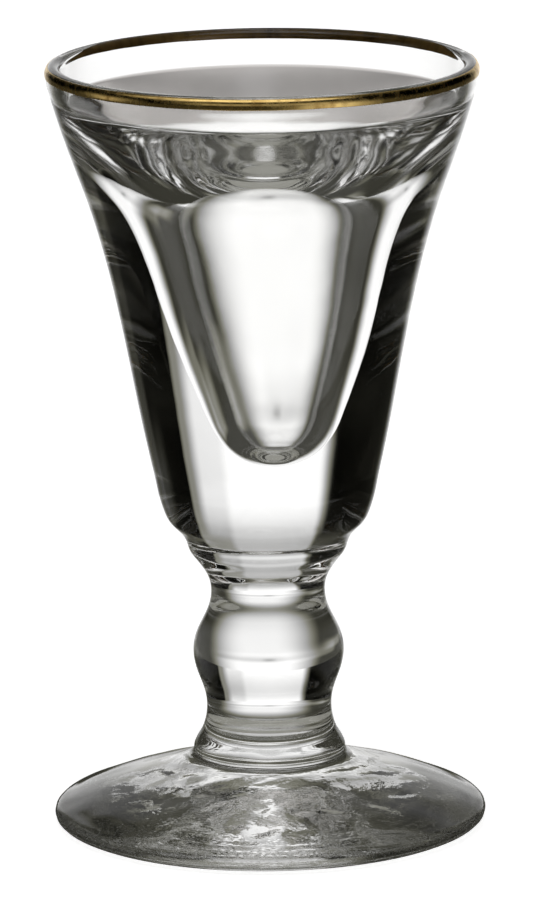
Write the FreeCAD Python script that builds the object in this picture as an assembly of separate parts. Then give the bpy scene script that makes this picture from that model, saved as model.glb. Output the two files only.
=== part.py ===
import FreeCAD, Part
import math
import os

# A stemmed liqueur glass, pressed in one piece, with a gilt band fired on its lip.
# It is round about +Z and stands on z = 0. Sizes are in millimetres and angles in degrees.

# Foot: a thick disc with a rounded edge and a sloping top
foot_r = 25.25             # radius at the widest
rest_in = 2.05             # from the widest in to the flat ring that the glass stands on
rest_width = 4.3           # width of that ring
hollow_rise = 1.5          # how far the underside rises at its middle
foot_edge_rise = 1.3       # from the table to the widest
foot_brow = 1.75           # from the widest in to where the top begins
foot_brow_rise = 1.3
foot_slope = 17.5          # slope of the top
foot_slope_rise = 2.9      # from the brow to the middle of the slope
foot_slope_run = 8.5       # the same, inwards

# Collar where the stem leaves the foot
collar_r = 8.85
collar_root = 1.5          # sweep at its root, outwards
collar_root_rise = 1.8     # from the middle of the slope to that sweep
collar_rise = 1.5          # from the sweep to the widest of the collar
collar_top_r = 8.6
collar_top_rise = 0.9

# Stem: a neck, a knob and a thinner neck
low_neck_r = 7.28
low_neck_throat_r = 7.7    # where the collar's top runs into the neck
low_neck_throat_rise = 1.7
low_neck_rise = 2.5
knob_r = 8.8
knob_rise = 6.6
top_neck_r = 6.65
top_neck_rise = 7.1

# Ring and round bottom under the bowl
ring_r = 8.9
ring_rise = 4.6
groove_r = 9.6
groove_rise = 1.7
bottom_r = 12.3            # where the round bottom turns up into the bowl's side
bottom_flank_r = 10.9
bottom_flank_rise = 1.6
bottom_rise = 2.6

# Bowl's outside, flared like a trumpet
bowl_low_r = 13.2
bowl_low_rise = 3.9
bowl_mid_r = 16.76
bowl_mid_rise = 18.0
bowl_high_r = 19.12
bowl_high_rise = 10.0
bowl_flare_in = 2.47       # how much narrower than the lip the bowl is where it flares most
bowl_flare_rise = 10.0

# Lip, made nearly as wide as the foot
lip_narrower = 0.28        # how much narrower than the foot the lip's glass is
lip_start_in = 0.27        # how much narrower it is where the lip begins
lip_start_rise = 7.0       # from the flare to where the lip begins
lip_wall = 1.85
lip_widest_rise = 1.85
lip_round_h = 1.07         # from the lip's widest to its crest
gilt = 0.08                # thickness of the gilt band
gilt_outside = 0.45        # how far the band runs below the lip's widest, outside
gilt_edge_in = 0.03        # how much narrower the lip is there
gilt_inside = 0.95         # how far it runs below the crest, inside

# Inside: a short upright wall, a ledge, a sloping shoulder and a deep narrow cavity
ledge_depth = 4.05         # the ledge's depth under the rim
ledge_step = 0.62          # how far the ledge's edge stands in from the upright wall
shoulder_slope = 36.4      # slope of the shoulder, down from level
throat_depth = 11.35       # where the shoulder turns down into the cavity
throat_r = 12.85
throat_slope = 50.0        # slope there
cavity_top_depth = 17.1
cavity_top_r = 10.1
cavity_mid_r = 8.35
cavity_mid_rise = 19.65    # from the cavity's bottom
cavity_low_r = 5.05
cavity_low_rise = 5.35
sham = 8.85                # solid glass from the bowl's round bottom to the cavity's bottom

# A quarter circle drawn as one cubic curve has handles of this share of its chord.
ROUND_HANDLE = 0.39


def point(r, z):
    """A point of the half section, which is drawn in the XZ plane."""
    return FreeCAD.Vector(r, 0, z)


def heading_vector(angle):
    return FreeCAD.Vector(math.cos(math.radians(angle)), 0, math.sin(math.radians(angle)))


def sweep(start, end):
    """Curve from one station (r, z, heading) to the next, leaving and arriving along their headings."""
    first, last = point(*start[:2]), point(*end[:2])
    handle = ROUND_HANDLE * first.distanceToPoint(last)
    curve = Part.BezierCurve()
    curve.setPoles([first, first + heading_vector(start[2]) * handle,
                    last - heading_vector(end[2]) * handle, last])
    return curve.toShape()


def run(stations):
    return [sweep(start, end) for start, end in zip(stations[:-1], stations[1:])]


def line(start, end):
    return Part.LineSegment(point(*start[:2]), point(*end[:2])).toShape()


def beside(station, distance):
    """The station moved off the glass, to the right of its heading."""
    r, z, heading = station
    off = math.radians(heading - 90)
    return (r + distance * math.cos(off), z + distance * math.sin(off), heading)


def turned(edges):
    """Solid of the closed half section made by these edges, turned about Z."""
    face = Part.Face(Part.Wire(edges))
    return face.revolve(FreeCAD.Vector(0, 0, 0), FreeCAD.Vector(0, 0, 1), 360)


def stacked(base_z, steps):
    """Stations (radius, height, heading) from steps (radius, rise, heading), each on top of the last."""
    stations = []
    z = base_z
    for r, rise, heading in steps:
        z += rise
        stations.append((r, z, heading))
    return stations


# Radii that follow from others
rest_r = foot_r - rest_in
foot_brow_r = foot_r - foot_brow
lip_r = foot_r - lip_narrower
lip_in_r = lip_r - lip_wall
ledge_r = lip_in_r - ledge_step

# The half section from the ring that the glass stands on, up the outside and over the lip.
# A heading is the outline's own direction: 0 is outwards, 90 up, 180 inwards and 270 down.
foot = stacked(0, [
    (rest_r, 0, 15),
    (foot_r, foot_edge_rise, 90),
    (foot_brow_r, foot_brow_rise, 155),
    (foot_brow_r - foot_slope_run, foot_slope_rise, 180 - foot_slope),
    (collar_r + collar_root, collar_root_rise, 152),
    (collar_r, collar_rise, 90),
    (collar_top_r, collar_top_rise, 115),
])
stem = stacked(foot[-1][1], [
    (low_neck_throat_r, low_neck_throat_rise, 108),
    (low_neck_r, low_neck_rise, 90),
    (knob_r, knob_rise, 90),
    (top_neck_r, top_neck_rise, 90),
    (ring_r, ring_rise, 53),
    (groove_r, groove_rise, 64),
])
bowl = stacked(stem[-1][1], [
    (bottom_flank_r, bottom_flank_rise, 43),
    (bottom_r, bottom_rise, 72),
    (bowl_low_r, bowl_low_rise, 77),
    (bowl_mid_r, bowl_mid_rise, 78.5),
    (bowl_high_r, bowl_high_rise, 74.5),
    (lip_r - bowl_flare_in, bowl_flare_rise, 70.5),
    (lip_r - lip_start_in, lip_start_rise, 74),
])
lip = stacked(bowl[-1][1], [
    (lip_r - gilt_edge_in, lip_widest_rise - gilt_outside, 86),
    (lip_r, gilt_outside, 90),
    (lip_r - lip_wall / 2, lip_round_h, 180),
    (lip_in_r, -gilt_inside, 268),
])

# From the lip down the inside to the bottom of the cavity
rim_z = lip[2][1] + gilt
ledge_z = rim_z - ledge_depth
cavity_z = bowl[0][1] + sham
upright_wall = [lip[-1], (ledge_r, ledge_z, 251)]
inside = [
    (ledge_r, ledge_z, 180 + shoulder_slope),
    (throat_r, rim_z - throat_depth, 180 + throat_slope),
    (cavity_top_r, rim_z - cavity_top_depth, 255.5),
    (cavity_mid_r, cavity_z + cavity_mid_rise, 260.3),
    (cavity_low_r, cavity_z + cavity_low_rise, 254.6),
    (0, cavity_z, 180),
]

under_middle = (0, hollow_rise)
under_ring = (rest_r - rest_width, 0)
underside = [
    line((0, cavity_z), under_middle),
    sweep((*under_middle, 0), (*under_ring, 0)),
    line(under_ring, (rest_r, 0)),
]

glass = turned(underside + run(foot + stem + bowl + lip) + run(upright_wall) + run(inside))

gilt_face = [beside(station, gilt) for station in lip]
gold_rim = turned(run(lip) + [line(lip[-1], gilt_face[-1])] + run(gilt_face)[::-1]
                  + [line(gilt_face[0], lip[0])])

os.makedirs("parts", exist_ok=True)
for name, solid in (("glass", glass), ("gold_rim", gold_rim)):
    solid.exportStep(f"parts/{name}.step")
    print(name, solid.ShapeType, solid.isValid(), round(solid.Volume, 2), solid.BoundBox)
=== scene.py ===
import math

import bpy
import numpy as np
from mathutils import Matrix, Vector


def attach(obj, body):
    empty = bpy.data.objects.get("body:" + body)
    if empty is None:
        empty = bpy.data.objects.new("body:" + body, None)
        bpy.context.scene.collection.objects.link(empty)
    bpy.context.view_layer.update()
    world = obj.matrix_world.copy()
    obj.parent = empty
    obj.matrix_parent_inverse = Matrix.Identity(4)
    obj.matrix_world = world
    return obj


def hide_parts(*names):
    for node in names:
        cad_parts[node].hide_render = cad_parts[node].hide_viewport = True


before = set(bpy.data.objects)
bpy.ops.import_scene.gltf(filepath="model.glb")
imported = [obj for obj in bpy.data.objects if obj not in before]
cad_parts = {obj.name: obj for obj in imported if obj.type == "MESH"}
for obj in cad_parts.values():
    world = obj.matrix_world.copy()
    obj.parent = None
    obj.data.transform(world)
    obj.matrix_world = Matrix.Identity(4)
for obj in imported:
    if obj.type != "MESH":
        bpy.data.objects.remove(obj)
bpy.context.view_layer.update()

# The glass is drawn in millimetres and angles in degrees, and turned into metres when it is meshed.
MM = 0.001

# A quarter circle drawn as one cubic curve has handles of this share of its chord.
ROUND_HANDLE = 0.39

# Half section of the glass. A station is (radius, height, heading), and a smooth curve joins each
# one to the next, leaving and arriving along their headings.
UNDERSIDE = [
    (0, 1.5, 0),               # middle of the hollow under the foot
    (18.9, 0, 0),              # inner edge of the ring that it stands on
]
OUTSIDE = [
    (23.2, 0, 15),             # outer edge of that ring
    (25.25, 1.3, 90),          # widest of the foot
    (23.5, 2.6, 155),          # brow, where the foot's top begins
    (15.0, 5.5, 162.5),        # middle of the foot's slope
    (10.35, 7.3, 152),         # sweep up into the collar
    (8.85, 8.8, 90),           # collar
    (8.6, 9.7, 115),
    (7.7, 11.4, 108),
    (7.28, 13.9, 90),          # lower neck
    (8.8, 20.5, 90),           # knob
    (6.65, 27.6, 90),          # upper neck
    (8.9, 32.2, 53),           # ring under the bowl
    (9.6, 33.9, 64),
    (10.9, 35.5, 43),          # round bottom of the bowl
    (12.3, 38.1, 72),
    (13.2, 42.0, 77),          # side of the bowl
    (16.76, 60.0, 78.5),
    (19.12, 70.0, 74.5),
    (22.5, 80.0, 70.5),        # flare
    (24.7, 87.0, 74),
]
LIP = [
    (24.94, 88.4, 86),         # just under the gilt
    (24.97, 88.85, 90),        # widest of the lip
    (24.045, 89.92, 180),      # crest
    (23.12, 88.97, 268),       # where the round ends, inside
]
UPRIGHT_WALL = [LIP[-1], (22.5, 85.95, 251)]
INSIDE = [
    (22.5, 85.95, 216.4),      # ledge under the lip, and the shoulder below it
    (12.85, 78.65, 230),       # where the shoulder turns down into the cavity
    (10.1, 72.9, 255.5),
    (8.35, 64.0, 260.3),
    (5.05, 49.7, 254.6),
    (0, 44.35, 180),           # bottom of the cavity
]
AROUND = 256                   # steps round the glass

# In a pair of heights or distances from here to the gilt, a change starts at the first value and is
# in full at the second.

# The plunger that pressed the cavity stood a little to one side.
CAVITY_LEAN = 0.7
LEAN_BELOW_LEDGE = (86.0, 44.0)    # heights

# Where the press left the skin uneven
SLOW_UNDER_LIP = (88, 84)      # heights, for the slow unevenness of the whole glass
SLOW_OVER_TABLE = (1, 4)
SLOW_OFF_AXIS = (0, 3)         # and distances from the axis
FOOT_TOP_RIPPLE = 0.024        # height of the ripples in the foot's top
FOOT_TOP_LENGTHS = (4, 11)     # shortest and longest of them
FOOT_TOP_UNDER_COLLAR = (10, 8)    # heights
FOOT_TOP_OVER_EDGE = (1.3, 3)
HOLLOW_RIPPLE = 0.06           # height of the ripples in the hollow under the foot
HOLLOW_LENGTHS = (2.5, 7)
HOLLOW_INSIDE_RING = (18.5, 16)    # distances from the axis

# Where the finish of the skin changes, and where grey shade is painted on the shoulder
PAINTED_SHADE_OVER_THROAT = (80.2, 81.0)    # heights, for the painted grey shade on the shoulder in the mouth, which is also rougher
PAINTED_SHADE_UNDER_LEDGE = (86.1, 85.7)
PAINTED_SHADE_INSIDE_WALL = (22.5, 22.3)    # and distances from the axis
UNDER_FOOT = (2.0, 1.6)        # heights
STANDING_RING = (18.4, 19.2)   # distances from the axis

# The finishes themselves, and the grey of the painted shade on the shoulder
CLEAR_GLASS = (0.993, 0.992, 0.987, 1)
CORDS_IN_GLASS = (0.976, 0.975, 0.967, 1)
# Painted shade: the colour that the shoulder in the mouth is darkened towards
PAINTED_SHADE_GREY = (0.345, 0.32, 0.305, 1)
SHOULDER_ROUGHNESS = 0.07
SCUFF_ROUGHNESS = 0.3
SKIN_DEPTH = 0.02              # depth of the finest unevenness, on glass and gilt
FINE_ON_GLASS = 0.03           # share of fine clouds in it
FINE_IN_HOLLOW = 1.8           # how much more of them there is in the hollow
FINE_ON_GILT = 0.5
THICK_GOLD = (0.88, 0.62, 0.23, 1)
THIN_GOLD = (0.6, 0.38, 0.12, 1)
THICK_BROWN = (0.17, 0.105, 0.035, 1)
THIN_BROWN = (0.09, 0.055, 0.02, 1)
TABLE_GREY = (0.9, 0.9, 0.9, 1)

# The gilt is a film on the outside of the lip, with soft uneven edges. Its inner face lies a little
# under the skin of the glass, so that no air shows between the two.
GILT_PROUD = 0.06
GILT_SUNK = 0.03
GILT_EDGE_WANDER = 0.03
GILT_RAISED = 0.15             # its lower edge over the lip's first station, along the outline
GILT_SHORT = 0.6               # how far short of the crest it ends, outside
GILT_AROUND, GILT_ACROSS = 512, 20

# The studio: a half sphere of soft windows and dark cards round a pale table. A patch of light is
# (azimuth of its middle, half its width, fade of its sides, lower edge, fade of it, upper edge,
# fade of it, level), with azimuth 0 behind the glass and 90 to its right. A level below 0 is a card
# that takes light away.
TENT_RADIUS = 3.0              # metres, and so is the floor's
FLOOR_RADIUS = 2.95
FLOOR_DROP = 0.05              # the floor lies this far under the foot, in millimetres
FLOOR_LIFT = 0.85              # glow that lifts the floor to white where it is seen
SKY = {                        # edges in degrees above the table
    "window behind": (2, 24, 3, -5, 1, 8, 17, 0.85),
    "its upper pane": (6, 26, 2, -5, 1, 35, 15, 0.45),
    "sky behind": (10, 38, 34, 25, 15, 100, 1, 0.16),
    "overhead": (0, 181, 1, 82, 42, 100, 1, 0.4),
    "top light": (4, 14, 8, 52, 6, 80, 6, 0.75),
    "window on the left": (-92, 12, 10, -5, 1, 8, 17, 0.65),
    "window behind the camera": (142, 14, 10, -5, 1, 10, 16, 0.8),
    "front, high": (180, 60, 10, 52, 6, 88, 10, 1.1),
    "front, low": (180, 40, 10, 10, 5, 30, 8, 0.35),
    "high on the left": (-112, 30, 14, 42, 8, 75, 10, 0.5),
    "dark card": (43, 29, 2, -5, 1, 29, 3, -0.2),
}
TABLE = {                      # edges as distance from the axis, in powers of ten of a millimetre
    "below the window": (3, 23, 13, 2.13, 0.19, 3.7, 0.1, 1.1),
    "dark spot": (-0.2, 2.3, 2.0, 2.11, 0.05, 2.2, 0.05, -0.28),
    "near, behind": (4, 20, 14, 1.6, 0.2, 2.09, 0.1, 0.94),
    "near, in front": (165, 52, 6, 1.68, 0.07, 2.07, 0.2, 0.5),
    "behind the camera": (142, 14, 16, 2.12, 0.1, 3.7, 0.1, 0.85),
    "on the left": (-92, 8, 6, 2.5, 0.15, 3.7, 0.1, 0.5),
    "behind on the left": (-27, 21, 4, 1.95, 0.12, 2.28, 0.1, 0.15),
    "near, on the left": (-50, 14, 8, 1.87, 0.06, 2.08, 0.08, 0.22),
    "under the foot": (0, 181, 1, -1, 0.1, 1.18, 0.12, 0.28),
    "all round": (0, 181, 1, 1.2, 0.1, 3.7, 0.1, 0.04),
}
WHITE = (1, 1, 1, 1)
DIM_TINT = (1.0, 0.985, 0.77, 1)   # the warm colour of dim light
DIM_LEVELS = (0.1, 0.45)           # levels between which it turns from that to white

# The camera, as the photograph was taken: a long lens, a little above the glass, very slightly turned.
CAMERA_AT = (0, -834.0, 229.6)
CAMERA_AIM = (0.25, 0, 44.2)
CAMERA_TURN = -0.656
LENS = 294.1
SENSOR = 36.0

BOUNCES = 24                   # a ray crosses many faces of thick glass before it comes out


def curve(start, end, count):
    """Cubic curve between two stations: the end points weighted with (1-t)^3 and t^3, and their
    handles, set along the headings, with 3t(1-t)^2 and 3t^2(1-t), for count values of t from 0."""
    p0, p1 = np.array(start[:2], float), np.array(end[:2], float)
    handle = ROUND_HANDLE * np.hypot(*(p1 - p0))
    h0, h1 = (handle * np.array([math.cos(math.radians(s[2])), math.sin(math.radians(s[2]))])
              for s in (start, end))
    t = np.linspace(0, 1, count, endpoint=False)[:, None]
    return (1 - t) ** 3 * p0 + 3 * t * (1 - t) ** 2 * (p0 + h0) + 3 * t**2 * (1 - t) * (p1 - h1) + t**3 * p1


def drawn(stations, step):
    """Points of the curves through these stations, about step millimetres apart, with the last one."""
    parts = []
    for start, end in zip(stations[:-1], stations[1:]):
        length = math.dist(start[:2], end[:2])
        parts.append(curve(start, end, max(5, round(length / step))))
    return np.vstack(parts + [np.array([stations[-1][:2]], float)])


def off_side(outline):
    """Unit vectors square to an outline, to the right of its direction, which is off the glass."""
    along = np.gradient(outline, axis=0)
    along /= np.hypot(along[:, 0], along[:, 1])[:, None]
    return np.stack([along[:, 1], -along[:, 0]], axis=-1)


def ramp(pair, value):
    """0 before the first of a pair of values, 1 past the second, and 3t^2 - 2t^3 between them,
    whichever of the two is the larger."""
    t = np.clip((value - pair[0]) / (pair[1] - pair[0]), 0, 1)
    return t * t * (3 - 2 * t)


def slow_waves(angle, height, seed=11, count=10):
    """Unevenness of pressed glass, in millimetres: a sum of slow cosine waves, each one turning
    2 to 6 times round the axis and drifting with the height."""
    waves = np.random.default_rng(seed)
    total = np.zeros(np.broadcast(angle, height).shape)
    for _ in range(count):
        turns, pitch = waves.integers(2, 7), waves.uniform(-0.16, 0.16)
        size, start = waves.uniform(0.002, 0.006), waves.uniform(0, 6.28)
        total += size * np.cos(turns * angle + pitch * height + start)
    return total


def ripples(place, seed, shortest, longest, count=26):
    """Ripples of about plus or minus one, over an array of places in millimetres: a sum of cosine
    waves of random direction whose lengths lie between the two given."""
    waves = np.random.default_rng(seed)
    total = np.zeros(place.shape[:-1])
    for _ in range(count):
        direction = waves.normal(size=3)
        direction /= np.linalg.norm(direction)
        length = waves.uniform(shortest, longest)
        total += np.cos(place @ direction * (2 * math.pi / length) + waves.uniform(0, 6.28))
    return total * math.sqrt(2 / count)


def mesh_piece(name, verts, faces):
    """Smooth-shaded object of these places, in metres, at the scene's origin."""
    mesh = bpy.data.meshes.new(name)
    mesh.from_pydata(np.asarray(verts).tolist(), [], faces)
    mesh.polygons.foreach_set("use_smooth", [True] * len(faces))
    mesh.update()
    piece = bpy.data.objects.new(name, mesh)
    bpy.context.scene.collection.objects.link(piece)
    return piece


def turned(name, outline, off, around, lean, move):
    """Surface of revolution: each outline point (r, z) is carried round the axis as
    (r cos a, r sin a, z), after moving it off the surface by move(angle, place). Each ring is then
    shifted along X by its lean. Both ends close on the axis."""
    angle = np.arange(around) * 2 * math.pi / around
    ring, side = outline[1:-1], off[1:-1]
    place = np.stack([ring[:, :1] * np.cos(angle), ring[:, :1] * np.sin(angle),
                      np.repeat(ring[:, 1:], around, axis=1)], axis=-1)
    out = move(angle, place)
    radius = ring[:, :1] + side[:, :1] * out
    height = ring[:, 1:] + side[:, 1:] * out
    rows = np.stack([radius * np.cos(angle) + lean[1:-1, None], radius * np.sin(angle), height],
                    axis=-1).reshape(-1, 3)
    ends = [[lean[0], 0, outline[0, 1]], [lean[-1], 0, outline[-1, 1]]]
    i, j = np.arange(len(ring) - 1)[:, None] * around, np.arange(around)
    k = (j + 1) % around
    quads = np.stack(np.broadcast_arrays(i + j, i + k, i + around + k, i + around + j), axis=-1)
    first, last, top = len(rows), len(rows) + 1, (len(ring) - 1) * around
    caps = np.vstack([np.stack([np.full(around, first), k, j], axis=-1),
                      np.stack([top + j, top + k, np.full(around, last)], axis=-1)])
    return mesh_piece(name, np.vstack([rows, ends]) * MM, quads.reshape(-1, 4).tolist() + caps.tolist())


def glass_body():
    """The whole glass in one closed surface, from the middle of the underside over the lip to the
    bottom of the cavity."""
    beneath = np.vstack([drawn(UNDERSIDE, 0.6)[:-1],
                         np.linspace(UNDERSIDE[-1][:2], OUTSIDE[0][:2], 7)[:-1]])
    outside = drawn(OUTSIDE + LIP[:1], 0.5)[:-1]
    lip = drawn(LIP, 0.2)[:-1]
    inside = np.vstack([drawn(UPRIGHT_WALL, 0.4)[:-1], drawn(INSIDE, 0.6)])
    outline = np.vstack([beneath, outside, lip, inside])
    row = np.arange(len(outline))
    under = (row < len(beneath))[1:-1, None]
    in_cavity = row >= len(outline) - len(inside)
    lean = CAVITY_LEAN * in_cavity * ramp(LEAN_BELOW_LEDGE, outline[:, 1])

    def move(angle, place):
        """The slow waves and the ripples. Those in the hollow only go up, off the table."""
        r = np.hypot(place[..., 0], place[..., 1])
        z = place[..., 2]
        on_foot = ~under * ramp(FOOT_TOP_UNDER_COLLAR, z) * ramp(FOOT_TOP_OVER_EDGE, z)
        in_hollow = under * ramp(HOLLOW_INSIDE_RING, r)
        free = ramp(SLOW_UNDER_LIP, z) * ramp(SLOW_OFF_AXIS, r) * ramp(SLOW_OVER_TABLE, z)
        return (slow_waves(angle, z) * free
                + FOOT_TOP_RIPPLE * ripples(place, 3, *FOOT_TOP_LENGTHS) * on_foot
                - HOLLOW_RIPPLE * (1 + np.tanh(ripples(place, 5, *HOLLOW_LENGTHS))) * in_hollow)

    body = turned("pressed_glass", outline, off_side(outline), AROUND, lean, move)
    body.data.materials.append(clear_glass())
    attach(body, "root")
    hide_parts("glass")


def uneven_edge(angle, seed):
    """How far an edge of the gilt wanders, in millimetres: a sum of cosine waves of 1 to 40 turns
    round the lip, the quicker ones smaller."""
    waves = np.random.default_rng(seed)
    total = np.zeros_like(angle)
    for turns in (1, 2, 3, 5, 8, 13, 21, 33, 40):
        size, start = waves.uniform(0.5, 1) / math.sqrt(turns), waves.uniform(0, 6.28)
        total += size * np.cos(turns * angle + start)
    return GILT_EDGE_WANDER * total


def gilt_band():
    """Closed band: at each angle the lip's outline is followed over the outer face from one edge
    to the other and back along the inner face. Off the skin, the outer face stands as the square
    root of a half wave, so that both edges taper to nothing."""
    path = np.vstack([drawn([OUTSIDE[-1]] + LIP, 0.05)[:-1], drawn(UPRIGHT_WALL, 0.05)])
    side = off_side(path)
    length = np.concatenate([[0], np.cumsum(np.hypot(*np.diff(path, axis=0).T))])
    start, end = (length[np.argmin(np.hypot(*(path - station[:2]).T))] for station in (LIP[0], LIP[2]))
    angle = np.arange(GILT_AROUND) * 2 * math.pi / GILT_AROUND
    low = start + GILT_RAISED + uneven_edge(angle, 21)
    high = end - GILT_SHORT + uneven_edge(angle, 22)
    across = np.linspace(0, math.pi, GILT_ACROSS)[:, None]
    over = low + (high - low) * (1 - np.cos(across)) / 2
    proud = np.broadcast_to(GILT_PROUD * np.sqrt(np.sin(across)), over.shape)
    loop = np.vstack([over, over[-2:0:-1]])
    off = np.vstack([proud, np.full_like(over[1:-1], -GILT_SUNK)])
    r = np.interp(loop, length, path[:, 0]) + off * np.interp(loop, length, side[:, 0])
    z = np.interp(loop, length, path[:, 1]) + off * np.interp(loop, length, side[:, 1])
    verts = np.stack([r * np.cos(angle), r * np.sin(angle), z], axis=-1).reshape(-1, 3) * MM
    rows = len(loop)
    i, j = np.arange(rows)[:, None], np.arange(GILT_AROUND)
    i_next, j_next = (i + 1) % rows * GILT_AROUND, (j + 1) % GILT_AROUND
    i = i * GILT_AROUND
    faces = np.stack(np.broadcast_arrays(i + j, i + j_next, i_next + j_next, i_next + j), axis=-1)
    band = mesh_piece("gilt_band", verts, faces.reshape(-1, 4).tolist())
    for film in (gilt_from_front(), gilt_from_behind()):
        band.data.materials.append(film)
    behind = np.repeat(np.arange(rows) >= GILT_ACROSS - 1, GILT_AROUND)
    band.data.polygons.foreach_set("material_index", behind.astype(int))
    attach(band, "root")
    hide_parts("gold_rim")


def wired(tree, source, socket):
    """Links a node's output to a socket, or sets the socket to a plain value."""
    if isinstance(source, bpy.types.NodeSocket):
        tree.links.new(source, socket)
    else:
        socket.default_value = source


def math_of(tree, operation, *values):
    """Output of a Math node that works this out from these values."""
    node = tree.nodes.new("ShaderNodeMath")
    node.operation = operation
    for value, socket in zip(values, node.inputs):
        wired(tree, value, socket)
    return node.outputs[0]


def fade(tree, value, start, end, at_start=0.0, at_end=1.0):
    """A value that goes smoothly from at_start to at_end as another goes from start to end."""
    node = tree.nodes.new("ShaderNodeMapRange")
    node.interpolation_type = "SMOOTHSTEP"
    for source, socket in zip((value, start, end, at_start, at_end), node.inputs):
        wired(tree, source, socket)
    return node.outputs[0]


def fade_over(tree, value, pair):
    """The fade of a length, which is in metres, over a pair of values in millimetres."""
    return fade(tree, value, pair[0] * MM, pair[1] * MM)


def cloudy(tree, place, size, detail=3.0):
    """Noise from 0 to 1 whose clouds are about this many millimetres across."""
    node = tree.nodes.new("ShaderNodeTexNoise")
    wired(tree, place, node.inputs["Vector"])
    node.inputs["Scale"].default_value = 1 / (size * MM)
    node.inputs["Detail"].default_value = detail
    return node.outputs["Fac"]


def blended(tree, share, first, second):
    """Colour that goes from the first to the second as the share goes from 0 to 1."""
    node = tree.nodes.new("ShaderNodeMix")
    node.data_type = "RGBA"
    wired(tree, share, node.inputs["Factor"])
    wired(tree, first, node.inputs["A"])
    wired(tree, second, node.inputs["B"])
    return node.outputs["Result"]


def uneven_skin_group():
    """Shader group: the height of an uneven skin, as slow clouds with finer ones on them."""
    group = bpy.data.node_groups.new("uneven skin", "ShaderNodeTree")
    group.interface.new_socket("Place", in_out="INPUT", socket_type="NodeSocketVector")
    group.interface.new_socket("Fine Share", in_out="INPUT", socket_type="NodeSocketFloat")
    group.interface.new_socket("Height", in_out="OUTPUT", socket_type="NodeSocketFloat")
    given, given_back = group.nodes.new("NodeGroupInput"), group.nodes.new("NodeGroupOutput")
    slow = cloudy(group, given.outputs["Place"], 4.0, 1.0)
    fine = cloudy(group, given.outputs["Place"], 0.9, 2.0)
    total = math_of(group, "MULTIPLY_ADD", fine, given.outputs["Fine Share"], slow)
    group.links.new(total, given_back.inputs["Height"])
    return group


def bare_material(name, shader_kind):
    """A material with one shader of this kind, which is all that its surface shows so far."""
    material = bpy.data.materials.new(name)
    material.use_nodes = True
    tree = material.node_tree
    tree.nodes.clear()
    shader = tree.nodes.new(shader_kind)
    output = tree.nodes.new("ShaderNodeOutputMaterial")
    tree.links.new(shader.outputs[0], output.inputs["Surface"])
    return material, tree, shader, output


def new_material(name, **values):
    """A material with one Principled shader, whose named sockets are set, and the piece's own
    coordinates."""
    material, tree, shader, _ = bare_material(name, "ShaderNodeBsdfPrincipled")
    for socket, value in values.items():
        shader.inputs[socket.replace("_", " ")].default_value = value
    place = tree.nodes.new("ShaderNodeTexCoord").outputs["Object"]
    return material, tree, shader, place


def rough_skin(tree, shader, place, fine_share):
    """Bump from the uneven skin group."""
    skin = tree.nodes.new("ShaderNodeGroup")
    skin.node_tree = bpy.data.node_groups["uneven skin"]
    wired(tree, place, skin.inputs["Place"])
    wired(tree, fine_share, skin.inputs["Fine Share"])
    bump = tree.nodes.new("ShaderNodeBump")
    bump.inputs["Distance"].default_value = SKIN_DEPTH * MM
    tree.links.new(skin.outputs["Height"], bump.inputs["Height"])
    tree.links.new(bump.outputs[0], shader.inputs["Normal"])


def height_and_radius(tree, place):
    """The height over the table and the distance from the axis, in metres."""
    parts = tree.nodes.new("ShaderNodeSeparateXYZ")
    tree.links.new(place, parts.inputs[0])
    squares = [math_of(tree, "MULTIPLY", parts.outputs[axis], parts.outputs[axis]) for axis in "XY"]
    return parts.outputs["Z"], math_of(tree, "SQRT", math_of(tree, "ADD", *squares))


def clear_glass():
    """Pressed glass, nearly colourless, with faint cloudy cords, a skin that the press left a little
    uneven, rougher in the hollow under the foot and on the shoulder, where grey shade is also painted
    into its colour, and a scuffed ring where it stands."""
    material, tree, shader, place = new_material("clear_glass", IOR=1.5, Transmission_Weight=1.0)
    height, radius = height_and_radius(tree, place)
    cords = fade(tree, cloudy(tree, place, 9.0), 0.35, 0.75)
    clear = blended(tree, cords, CLEAR_GLASS, CORDS_IN_GLASS)
    # Painted shade: the shoulder in the mouth is blended towards grey, and is also made a little rougher
    shoulder = math_of(tree, "MULTIPLY", fade_over(tree, height, PAINTED_SHADE_OVER_THROAT),
                       fade_over(tree, height, PAINTED_SHADE_UNDER_LEDGE))
    shoulder = math_of(tree, "MULTIPLY", shoulder, fade_over(tree, radius, PAINTED_SHADE_INSIDE_WALL))
    wired(tree, blended(tree, shoulder, clear, PAINTED_SHADE_GREY), shader.inputs["Base Color"])
    beneath = fade_over(tree, height, UNDER_FOOT)
    ring = math_of(tree, "MULTIPLY", beneath, fade_over(tree, radius, STANDING_RING))
    scuffs = fade(tree, cloudy(tree, place, 0.5, 4.0), 0.35, 0.7)
    scuffed = math_of(tree, "MULTIPLY", math_of(tree, "MULTIPLY", ring, scuffs), SCUFF_ROUGHNESS)
    roughness = math_of(tree, "MULTIPLY_ADD", shoulder, SHOULDER_ROUGHNESS, scuffed)
    wired(tree, roughness, shader.inputs["Roughness"])
    hollow = math_of(tree, "SUBTRACT", beneath, ring)
    rough_skin(tree, shader, place, math_of(tree, "MULTIPLY_ADD", hollow, FINE_IN_HOLLOW, FINE_ON_GLASS))
    return material


def film_of_gilt(name, thick_tone, thin_tone, smoothest, roughest):
    """Fired gold film: brushed on, so it is thick in places and thin in others, and its sheen varies."""
    material, tree, shader, place = new_material(name, Metallic=1.0)
    thin = fade(tree, cloudy(tree, place, 1.6), 0.45, 0.8)
    wired(tree, blended(tree, thin, thick_tone, thin_tone), shader.inputs["Base Color"])
    sheen = fade(tree, cloudy(tree, place, 0.8), 0.3, 0.8, smoothest, roughest)
    wired(tree, sheen, shader.inputs["Roughness"])
    rough_skin(tree, shader, place, FINE_ON_GILT)
    return material


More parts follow.
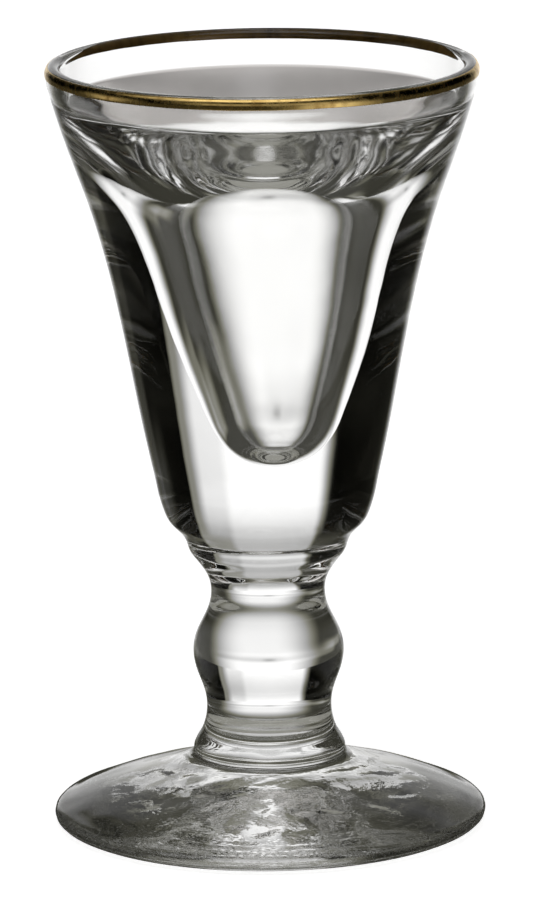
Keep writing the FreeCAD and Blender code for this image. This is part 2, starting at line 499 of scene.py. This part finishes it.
def gilt_from_front():
    """The bright outside of the gilt."""
    return film_of_gilt("gilt", THICK_GOLD, THIN_GOLD, 0.16, 0.36)


def gilt_from_behind():
    """The side of the gilt that shows through the glass: the dull brown of the fired film."""
    return film_of_gilt("gilt_from_behind", THICK_BROWN, THIN_BROWN, 0.3, 0.45)


def soft_patch_group():
    """Shader group: the brightness of one soft-edged patch of light. It is measured round the axis in
    degrees from the patch's middle, and upwards on any scale, and fades at its edges both ways."""
    group = bpy.data.node_groups.new("soft patch", "ShaderNodeTree")
    for socket in ("Azimuth", "Height", "Middle", "Half Width", "Side Fade", "Low", "Low Fade", "High",
                   "High Fade", "Level"):
        group.interface.new_socket(socket, in_out="INPUT", socket_type="NodeSocketFloat")
    group.interface.new_socket("Light", in_out="OUTPUT", socket_type="NodeSocketFloat")
    given, given_back = group.nodes.new("NodeGroupInput"), group.nodes.new("NodeGroupOutput")
    off_middle = math_of(group, "SUBTRACT", given.outputs["Azimuth"], given.outputs["Middle"])
    aside = math_of(group, "ABSOLUTE", math_of(group, "WRAP", off_middle, 180, -180))
    half, side = given.outputs["Half Width"], given.outputs["Side Fade"]
    light = fade(group, aside, math_of(group, "ADD", half, side), math_of(group, "SUBTRACT", half, side))
    for edge, sign in (("Low", 1), ("High", -1)):
        at, soft = given.outputs[edge], math_of(group, "MULTIPLY", given.outputs[edge + " Fade"], sign)
        inside = fade(group, given.outputs["Height"], math_of(group, "SUBTRACT", at, soft),
                      math_of(group, "ADD", at, soft))
        light = math_of(group, "MULTIPLY", light, inside)
    group.links.new(math_of(group, "MULTIPLY", light, given.outputs["Level"]), given_back.inputs["Light"])
    return group


def patched_light(name, patches, group, of_table):
    """Material that glows with the sum of these patches, or not at all where that is below 0."""
    material, tree, glow, _ = bare_material(name, "ShaderNodeEmission")
    material.cycles.emission_sampling = "NONE"
    place = tree.nodes.new("ShaderNodeTexCoord").outputs["Object"]
    parts = tree.nodes.new("ShaderNodeSeparateXYZ")
    tree.links.new(place, parts.inputs[0])
    azimuth = math_of(tree, "DEGREES", math_of(tree, "ARCTAN2", parts.outputs["X"], parts.outputs["Y"]))
    height, distance = height_and_radius(tree, place)
    if of_table:
        millimetres = math_of(tree, "MAXIMUM", math_of(tree, "DIVIDE", distance, MM), 1)
        scale = math_of(tree, "LOGARITHM", millimetres, 10)
    else:
        scale = math_of(tree, "DEGREES", math_of(tree, "ARCTAN2", height, distance))
    total = 0.0
    for patch in patches.values():
        node = tree.nodes.new("ShaderNodeGroup")
        node.node_tree = group
        for source, socket in zip((azimuth, scale, *patch), node.inputs):
            wired(tree, source, socket)
        total = math_of(tree, "ADD", node.outputs["Light"], total)
    total = math_of(tree, "MAXIMUM", total, 0.0)
    tree.links.new(blended(tree, fade(tree, total, *DIM_LEVELS), DIM_TINT, WHITE), glow.inputs["Color"])
    tree.links.new(total, glow.inputs["Strength"])
    return material


def tent():
    """Half sphere: for angles a round the axis and b up from the table, the point
    (cos a cos b, sin a cos b, sin b) times its radius."""
    around, up = 96, 39
    a = np.arange(around) * 2 * math.pi / around
    b = np.linspace(0, math.pi / 2, up, endpoint=False)[:, None]
    rows = np.stack(np.broadcast_arrays(np.cos(a) * np.cos(b), np.sin(a) * np.cos(b), np.sin(b)), axis=-1)
    verts = np.vstack([rows.reshape(-1, 3), [[0, 0, 1]]]) * TENT_RADIUS
    i, j = np.arange(up - 1)[:, None] * around, np.arange(around)
    k = (j + 1) % around
    quads = np.stack(np.broadcast_arrays(i + j, i + around + j, i + around + k, i + k), axis=-1)
    top = (up - 1) * around
    cap = np.stack([top + j, np.full(around, len(verts) - 1), top + k], axis=-1)
    return mesh_piece("tent", verts, quads.reshape(-1, 4).tolist() + cap.tolist())


def disc(name, radius, height, corners=128):
    """Flat round: the corners (cos a, sin a) times its radius, at one height."""
    a = np.arange(corners) * 2 * math.pi / corners
    verts = np.stack([radius * np.cos(a), radius * np.sin(a), np.full(corners, height)], axis=-1)
    return mesh_piece(name, verts, [list(range(corners))])


def hide_from_camera(piece):
    """Stage piece that lights the glass, but neither shows in the picture nor casts a shadow."""
    piece.visible_camera = False
    piece.visible_shadow = False


def seen(tree):
    """1 for a ray that looks straight at a thing, in a mirror or through glass, and 0 for light."""
    path = tree.nodes.new("ShaderNodeLightPath")
    either = math_of(tree, "MAXIMUM", path.outputs["Is Glossy Ray"], path.outputs["Is Transmission Ray"])
    return math_of(tree, "MAXIMUM", path.outputs["Is Camera Ray"], either)


def pale_table():
    """The table's own pale colour, lifted to white where it is seen, so that the glass's shadow
    stays on it."""
    material, tree, diffuse, output = bare_material("pale_table", "ShaderNodeBsdfDiffuse")
    diffuse.inputs["Color"].default_value = TABLE_GREY
    glow = tree.nodes.new("ShaderNodeEmission")
    tree.links.new(math_of(tree, "MULTIPLY", seen(tree), FLOOR_LIFT), glow.inputs["Strength"])
    both = tree.nodes.new("ShaderNodeAddShader")
    tree.links.new(diffuse.outputs[0], both.inputs[0])
    tree.links.new(glow.outputs[0], both.inputs[1])
    tree.links.new(both.outputs[0], output.inputs["Surface"])
    return material


def studio():
    """A world that is white where it is seen, the pale floor, and the soft windows round the glass."""
    world = bpy.data.worlds.new("studio")
    bpy.context.scene.world = world
    world.use_nodes = True
    backdrop = world.node_tree.nodes["Background"]
    backdrop.inputs["Color"].default_value = WHITE
    world.node_tree.links.new(seen(world.node_tree), backdrop.inputs["Strength"])
    floor = disc("floor", FLOOR_RADIUS, -FLOOR_DROP * MM)
    floor.data.materials.append(pale_table())
    group = soft_patch_group()
    dome = tent()
    dome.data.materials.append(patched_light("tent_light", SKY, group, False))
    hide_from_camera(dome)
    card = disc("table_card", TENT_RADIUS, -FLOOR_DROP / 2 * MM)
    card.data.materials.append(patched_light("table_light", TABLE, group, True))
    card.visible_diffuse = False
    hide_from_camera(card)


def camera():
    """The camera, aimed and then turned a little about its own axis."""
    data = bpy.data.cameras.new("camera")
    data.sensor_width, data.lens = SENSOR, LENS
    eye = bpy.data.objects.new("camera", data)
    bpy.context.scene.collection.objects.link(eye)
    place = Vector(CAMERA_AT) * MM
    look = (Vector(CAMERA_AIM) * MM - place).to_track_quat("-Z", "Y")
    turn = Matrix.Rotation(math.radians(CAMERA_TURN), 4, "Z")
    eye.matrix_world = Matrix.Translation(place) @ look.to_matrix().to_4x4() @ turn
    bpy.context.scene.camera = eye


uneven_skin_group()            # the materials look it up by its name
glass_body()
gilt_band()
studio()
camera()

scene = bpy.context.scene
scene.view_settings.view_transform = "Standard"
scene.cycles.max_bounces = BOUNCES
scene.cycles.transmission_bounces = BOUNCES
scene.cycles.glossy_bounces = BOUNCES
